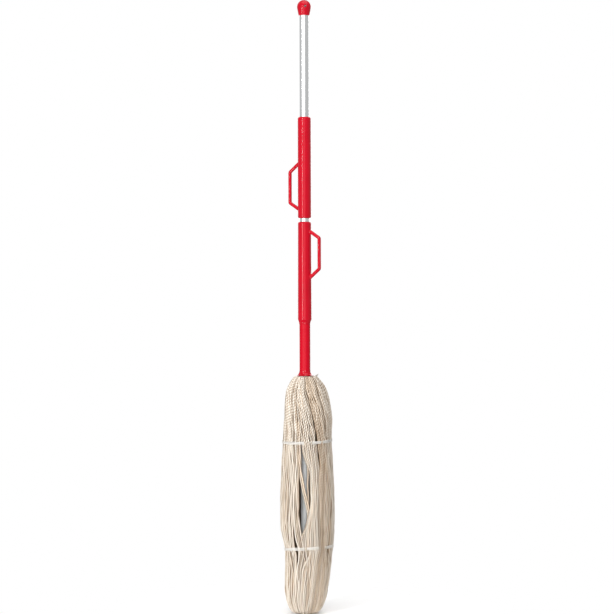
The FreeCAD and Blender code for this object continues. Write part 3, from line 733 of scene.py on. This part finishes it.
class Shader:
    """A material built up node by node round one principled shader."""

    def __init__(self, name, **constants):
        self.material = bpy.data.materials.new(name)
        self.material.use_nodes = True
        self.tree = self.material.node_tree
        self.surface = next(n for n in self.tree.nodes if n.type == "BSDF_PRINCIPLED")
        for socket, value in constants.items():
            self.surface.inputs[socket.replace("_", " ")].default_value = value
        self.place = self.add("ShaderNodeTexCoord").outputs["Object"]

    def add(self, kind, settings=None, **inputs):
        """A new node. Its inputs go by name, or by number as i0, i1 and so on."""
        node = self.tree.nodes.new(kind)
        for key, value in (settings or {}).items():
            setattr(node, key, value)
        for key, value in inputs.items():
            numbered = key[0] == "i" and key[1:].isdigit()
            self.join(node.inputs[int(key[1:]) if numbered else key.replace("_", " ")], value)
        return node

    def join(self, socket, value):
        """Links another node's output to a socket, or sets the socket to a constant."""
        if isinstance(value, bpy.types.NodeSocket):
            self.tree.links.new(value, socket)
        else:
            socket.default_value = value

    def stretched(self, x, y, z):
        """The object's own coordinates, scaled along each axis."""
        return self.add("ShaderNodeMapping", None, Vector=self.place, Scale=(x, y, z)).outputs["Vector"]

    def noise(self, scale, detail=2.0, roughness=0.5, place=None):
        """A noise's value at the object's own coordinates, or at another place."""
        node = self.add(
            "ShaderNodeTexNoise",
            None,
            Vector=place or self.place,
            Scale=scale,
            Detail=detail,
            Roughness=roughness,
        )
        return node.outputs["Fac"]

    def ranged(self, value, low, high, new_low, new_high):
        """A value carried over from one range to another, and held within it."""
        node = self.add("ShaderNodeMapRange", None, i0=value, i1=low, i2=high, i3=new_low, i4=new_high)
        return node.outputs[0]

    def spread(self, noise, new_low=0.0, new_high=1.0):
        """A noise, which lies mostly between 0.3 and 0.7, spread over a range."""
        return self.ranged(noise, 0.3, 0.7, new_low, new_high)

    def mixed(self, share, first, second, way="MIX"):
        """Two colours mixed, each an output or three numbers."""
        settings = {"data_type": "RGBA", "blend_type": way}
        first, second = (c if isinstance(c, bpy.types.NodeSocket) else (*c, 1) for c in (first, second))
        return self.add("ShaderNodeMix", settings, i0=share, i6=first, i7=second).outputs[2]

    def sum_of(self, first, second):
        """Two values added up."""
        return self.add("ShaderNodeMath", {"operation": "ADD"}, i0=first, i1=second).outputs[0]

    def bump(self, height, strength, distance, before=None):
        """The surface's direction, roughened by a height, on top of another bump if one is given."""
        node = self.add("ShaderNodeBump", None, Strength=strength, Distance=distance, Height=height)
        if before is not None:
            self.join(node.inputs["Normal"], before)
        return node.outputs["Normal"]

    def finish(self, **links):
        """Joins outputs to the principled shader's inputs, and gives the material."""
        for socket, value in links.items():
            self.join(self.surface.inputs[socket.replace("_", " ")], value)
        return self.material


def moulded_plastic(name, colour, deep, roughness, specular, skin=0.12):
    """Injection-moulded plastic: slightly uneven colour, a fine skin, faint flow lines and scuffs."""
    s = Shader(name, Specular_IOR_Level=specular)
    base = s.mixed(s.spread(s.noise(22.0, 3.0)), deep, colour)
    flow = s.noise(90.0, 2.0, 0.5, s.stretched(1.0, 1.0, 0.08))
    scuffs = s.ranged(s.noise(420.0, 3.0, 0.6, s.stretched(1.0, 1.0, 0.25)), 0.62, 0.8, 0.0, 0.10)
    rough = s.sum_of(s.spread(flow, roughness - 0.02, roughness + 0.03), scuffs)
    skin_bump = s.bump(s.noise(1500.0, 2.0), skin, 0.0001)
    sink = s.bump(s.noise(45.0, 1.0), 0.04, 0.001, skin_bump)
    return s.finish(Base_Color=base, Roughness=rough, Normal=sink)


def coated_tube(name, colour, deep):
    """A coated steel tube, with the faint orange peel of its coating."""
    s = Shader(name, Specular_IOR_Level=0.11)
    base = s.mixed(s.spread(s.noise(30.0, 3.0)), deep, colour)
    rubbed = s.noise(500.0, 3.0, 0.6, s.stretched(0.15, 0.15, 1.0))
    rough = s.ranged(rubbed, 0.35, 0.75, 0.33, 0.48)
    peel = s.bump(s.noise(650.0, 2.0), 0.18, 0.0003)
    return s.finish(Base_Color=base, Roughness=rough, Normal=peel)


def satin_metal(name, colour, deep, roughness, grain):
    """Drawn metal: fine lines along Z in its colour, gloss and relief, and dull and pale inside the yarn."""
    s = Shader(name, Anisotropic=0.35)
    lines = s.noise(1.0, 3.0, 0.6, s.stretched(grain, grain, 9.0))
    blotches = s.noise(35.0, 3.0)
    height = s.add("ShaderNodeSeparateXYZ", None, Vector=s.place).outputs["Z"]
    ragged_height = s.sum_of(height, s.spread(blotches, -0.006, 0.006))
    dull = s.ranged(ragged_height, YARN_TOP - 0.03, YARN_TOP + 0.01, 1.0, 0.0)
    bright = s.mixed(s.spread(lines), deep, colour)
    chalky = s.mixed(s.spread(blotches), (0.90, 0.93, 0.93), (0.97, 0.98, 0.97))
    base = s.mixed(dull, bright, chalky)
    drawn = s.spread(lines, roughness - 0.03, roughness + 0.04)
    rough = s.sum_of(drawn, s.ranged(blotches, 0.4, 0.7, 0.0, 0.04))
    rough = s.sum_of(rough, s.ranged(dull, 0.0, 1.0, 0.0, 0.28))
    metal = s.ranged(dull, 0.0, 1.0, 1.0, 0.25)
    return s.finish(Base_Color=base, Roughness=rough, Metallic=metal, Normal=s.bump(lines, 0.03, 0.00002))


def zinc_steel(name):
    """Zinc-plated steel with its faint spangle."""
    s = Shader(name, Metallic=1.0)
    cells = s.add("ShaderNodeTexVoronoi", None, Vector=s.place, Scale=900.0).outputs["Color"]
    tone = s.add("ShaderNodeRGBToBW", None, Color=cells).outputs[0]
    base = s.mixed(tone, (0.50, 0.51, 0.53), (0.66, 0.66, 0.67))
    rough = s.ranged(tone, 0.0, 1.0, 0.26, 0.44)
    return s.finish(Base_Color=base, Roughness=rough, Normal=s.bump(s.noise(2200.0), 0.15, 0.0001))


def matte_rubber(name):
    """Black rubber with a little pale dust."""
    s = Shader(name, Specular_IOR_Level=0.35)
    dust = s.ranged(s.noise(600.0, 3.0), 0.45, 0.75, 0.0, 1.0)
    base = s.mixed(dust, (0.022, 0.022, 0.023), (0.055, 0.053, 0.050))
    rough = s.ranged(dust, 0.0, 1.0, 0.62, 0.85)
    return s.finish(Base_Color=base, Roughness=rough, Normal=s.bump(s.noise(2500.0), 0.3, 0.0001))


def cotton(name, pale, warm, dim_and_shaded, valley, fibre, relief):
    """Plied cotton: each strand's own tones, painted shade in its valleys and on its shut sides, and a
    fibrous surface.

    The colours are a pale and a warm strand's, and the third is what a dark strand's colour is multiplied
    by; it also paints shade on the innermost strands.
    The valley number is how dark the painted shade in valleys and on shut sides is, fibre how fine the
    fibres are, and relief how high, in metres.
    """
    sheen = {"Sheen_Weight": 0.12, "Sheen_Roughness": 0.5, "Sheen_Tint": (1.0, 0.9, 0.78, 1)}
    s = Shader(name, Specular_IOR_Level=0.12, **sheen)
    tone = s.add("ShaderNodeAttribute", {"attribute_name": "tone"}).outputs["Color"]
    warmth, proud, paleness_and_shade = s.add("ShaderNodeSeparateColor", None, Color=tone).outputs[:3]
    fibres = s.noise(fibre, 4.0, 0.65)
    patches = s.noise(60.0, 2.0)
    warmth = s.ranged(s.sum_of(warmth, s.spread(patches, -0.10, 0.10)), 0.1, 0.9, 0.0, 1.0)
    base = s.mixed(warmth, pale, warm)
    # Dark strands, and the painted shade on the innermost strands, multiply the colour by the dim colour.
    base = s.mixed(s.ranged(paleness_and_shade, 0.0, 1.0, 1.0, 0.0), base, dim_and_shaded, "MULTIPLY")
    # Painted shade: ply valleys and shut sides, which face other strands or the pole, are darkened towards
    # this brown.
    base = s.mixed(s.ranged(proud, 0.0, 0.75, valley, 0.0), base, (0.28, 0.20, 0.13), "MULTIPLY")
    base = s.mixed(s.spread(fibres, 0.16, 0.0), base, (0.62, 0.50, 0.40), "MULTIPLY")
    rough = s.spread(fibres, 0.95, 0.82)
    return s.finish(Base_Color=base, Roughness=rough, Normal=s.bump(fibres, 0.5, relief))


def dress(names, material):
    """Puts one material on those CAD nodes."""
    for name in names:
        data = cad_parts[name].data
        data.materials.clear()
        data.materials.append(material)


def dress_cad():
    """Gives every CAD node that stays in view its material."""
    red = moulded_plastic(
        "red_moulding", (0.475, 0.0010, 0.013), (0.43, 0.0008, 0.011), roughness=0.12, specular=0.22
    )
    dress(("top_knob", "upper_grip", "upper_grip_end_bush", "lower_grip", "yarn_collar", "yarn_hub"), red)
    coating = coated_tube("red_coating", (0.51, 0.0015, 0.014), (0.46, 0.001, 0.012))
    dress(("outer_pipe",), coating)
    aluminium = satin_metal(
        "drawn_aluminium", (0.93, 0.94, 0.94), (0.84, 0.85, 0.86), roughness=0.22, grain=1500.0
    )
    dress(("inner_pole",), aluminium)
    steel = zinc_steel("zinc_steel")
    dress(("upper_grip_screw", "lower_grip_screws", "collar_rivets", "collar_wire"), steel)
    dress(("hub_wire", "hub_screw", "hub_washer"), steel)
    white = moulded_plastic(
        "white_moulding", (0.78, 0.78, 0.75), (0.70, 0.70, 0.66), roughness=0.42, specular=0.5, skin=0.2
    )
    dress(("upper_grip_spacer", "guide_bush_top", "guide_bush_foot", "pole_end_plug"), white)
    dress(("friction_ring",), matte_rubber("black_rubber"))


# ---------------------------------------------------------------- yarn pieces


def wall_part(points):
    """The strands' points from the collar down to the lowest level."""
    return points[: int(len(points) * WALL_END / (LEVELS - 1))]


def cut_into_pieces(points, rings, tone, turn, material):
    """Locks of strands, each cut at the upper tie, where the yarn starts to turn with the sleeve."""
    cut = int(np.abs(wall_part(points)[:, :, 2].mean(1) - TIE_UPPER).argmin())
    order = np.argsort(turn)
    for lock, members in enumerate(np.array_split(order, LOCKS), start=1):
        upper = tube_mesh(f"yarn_upper_{lock:02d}", rings[: cut + 1, members], tone[: cut + 1, members])
        lower = tube_mesh(f"yarn_lower_{lock:02d}", rings[cut:, members], tone[cut:, members])
        for piece in (upper, lower):
            piece.data.materials.append(material)
        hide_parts("upper_yarn")
        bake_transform(upper)
        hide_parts("lower_yarn")
        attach(lower, "pole")
        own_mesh(lower)


def make_yarn():
    """The strands, the two ties round them, and the loose ends beside the collar."""
    cream = cotton(
        "cotton_yarn",
        pale=(1.0, 0.96, 0.88),
        warm=(0.95, 0.81, 0.65),
        dim_and_shaded=(0.30, 0.24, 0.18),
        valley=0.95,
        fibre=1500.0,
        relief=0.0003,
    )
    string = cotton(
        "white_string",
        pale=(0.79, 0.78, 0.75),
        warm=(0.76, 0.73, 0.69),
        dim_and_shaded=(0.90, 0.90, 0.90),
        valley=0.55,
        fibre=2400.0,
        relief=0.0001,
    )
    grey = cotton(
        "grey_yarn_ends",
        pale=(0.60, 0.58, 0.55),
        warm=(0.52, 0.48, 0.43),
        dim_and_shaded=(0.80, 0.80, 0.80),
        valley=0.40,
        fibre=1500.0,
        relief=0.0003,
    )
    points, rings, tone, turn, over_upper, over_lower = make_strands()
    cut_into_pieces(points, rings, tone, turn, cream)
    outside = wall_part(points)
    for name, node, height, body, over, right_rise, front_rise in (
        ("upper_string_tie", "upper_tie", TIE_UPPER, "slider", over_upper, 0.0024, 0.0),
        ("lower_string_tie", "lower_tie", TIE_LOWER, "pole", over_lower, 0.0040, 0.0048),
    ):
        for piece in make_tie(name, height, outside[:, ~over], right_rise, front_rise):
            piece.data.materials.append(string)
            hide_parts(node)
            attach(piece, body)
            if body == "pole":
                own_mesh(piece)
    tuft = make_tuft()
    tuft.data.materials.append(grey)
    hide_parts("upper_yarn")
    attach(tuft, "sleeve")


# ---------------------------------------------------------------- studio


def make_floor():
    """A pale round floor that fades into the white surroundings."""
    bpy.ops.mesh.primitive_circle_add(vertices=96, radius=1.6, fill_type="NGON", location=(0, 0, -0.0002))
    floor = bpy.context.object
    floor.name = "floor"
    s = Shader("pale_floor", Roughness=0.75)
    s.finish(Base_Color=s.mixed(s.spread(s.noise(3.0, 3.0)), (0.94, 0.94, 0.94), (0.96, 0.96, 0.96)))
    solid_to, gone_from = 0.12, 0.50
    distance = s.add("ShaderNodeVectorMath", {"operation": "LENGTH"}, i0=s.place).outputs["Value"]
    smooth = {"interpolation_type": "SMOOTHSTEP"}
    fade = s.add("ShaderNodeMapRange", smooth, i0=distance, i1=solid_to, i2=gone_from, i3=0.0, i4=1.0)
    clear = s.add("ShaderNodeBsdfTransparent").outputs[0]
    mix = s.add("ShaderNodeMixShader", None, i0=fade.outputs[0], i1=s.surface.outputs[0], i2=clear)
    output = next(n for n in s.tree.nodes if n.type == "OUTPUT_MATERIAL")
    s.tree.links.new(mix.outputs[0], output.inputs["Surface"])
    floor.data.materials.append(s.material)


def make_surroundings():
    """A white backdrop for the camera, with a softer light from all round for the object."""
    world = bpy.data.worlds.new("studio")
    bpy.context.scene.world = world
    world.use_nodes = True
    nodes, links = world.node_tree.nodes, world.node_tree.links
    ambient = nodes["Background"]
    ambient.inputs["Color"].default_value = (1, 1, 1, 1)
    ambient.inputs["Strength"].default_value = 0.52
    backdrop = nodes.new("ShaderNodeBackground")
    backdrop.inputs["Color"].default_value = (1, 1, 1, 1)
    backdrop.inputs["Strength"].default_value = 1.0
    seen = nodes.new("ShaderNodeLightPath")
    mix = nodes.new("ShaderNodeMixShader")
    links.new(seen.outputs["Is Camera Ray"], mix.inputs[0])
    links.new(ambient.outputs[0], mix.inputs[1])
    links.new(backdrop.outputs[0], mix.inputs[2])
    links.new(mix.outputs[0], nodes["World Output"].inputs["Surface"])


def softbox(name, azimuth, distance, height, width, tall, radiance, aim_height):
    """A rectangular soft light on the side of that azimuth, turned towards the mop."""
    light = bpy.data.lights.new(name, "AREA")
    light.shape = "RECTANGLE"
    light.size, light.size_y = width, tall
    light.energy = radiance * math.pi * width * tall
    lamp = bpy.data.objects.new(name, light)
    lamp.visible_camera = False
    bpy.context.scene.collection.objects.link(lamp)
    turn = math.radians(azimuth)
    lamp.location = (distance * math.sin(turn), -distance * math.cos(turn), height)
    aim = Vector((0, 0, aim_height)) - lamp.location
    lamp.rotation_euler = aim.to_track_quat("-Z", "Y").to_euler()


def make_lights():
    """A bright strip at the left for the long highlights, with broad soft light from the other sides."""
    front = math.degrees(FRONT)
    softbox("strip", front - 36, 1.9, height=1.0, width=0.11, tall=2.2, radiance=32.0, aim_height=1.0)
    softbox("left", front - 42, 2.1, height=1.0, width=1.35, tall=2.2, radiance=0.80, aim_height=1.0)
    softbox("front", front - 3, 2.6, height=1.0, width=1.30, tall=2.2, radiance=1.65, aim_height=0.9)
    softbox("low_front", front + 1, 2.6, height=0.25, width=0.50, tall=0.5, radiance=22.0, aim_height=0.3)
    softbox("top", front + 25, 0.6, height=2.9, width=2.0, tall=2.0, radiance=2.2, aim_height=0.0)
    softbox("back", front + 172, 2.4, height=1.1, width=1.4, tall=2.2, radiance=3.0, aim_height=0.8)


def make_camera():
    """A camera level with the mop's middle, that takes in its whole height from the front."""
    distance, margin = 4.0, 1.0027
    lower_by, right_by, roll = 0.002, 0.0054, math.radians(-0.15)
    low, high = cad_box
    data = bpy.data.cameras.new("camera")
    camera = bpy.data.objects.new("camera", data)
    bpy.context.scene.collection.objects.link(camera)
    bpy.context.scene.camera = camera
    span = (high.z - low.z) * margin
    middle = Vector((0, 0, (high.z - low.z) / 2 - lower_by)) + Vector(RIGHT_WAY) * right_by
    camera.location = middle + Vector(FRONT_WAY) * distance
    data.angle = 2 * math.atan(span / 2 / distance)
    look = (middle - camera.location).to_track_quat("-Z", "Y")
    camera.rotation_euler = look.to_euler()
    camera.rotation_euler.rotate_axis("Z", roll)


make_camera()
dress_cad()
make_yarn()
make_floor()
make_surroundings()
make_lights()
bpy.context.scene.view_settings.view_transform = "Standard"
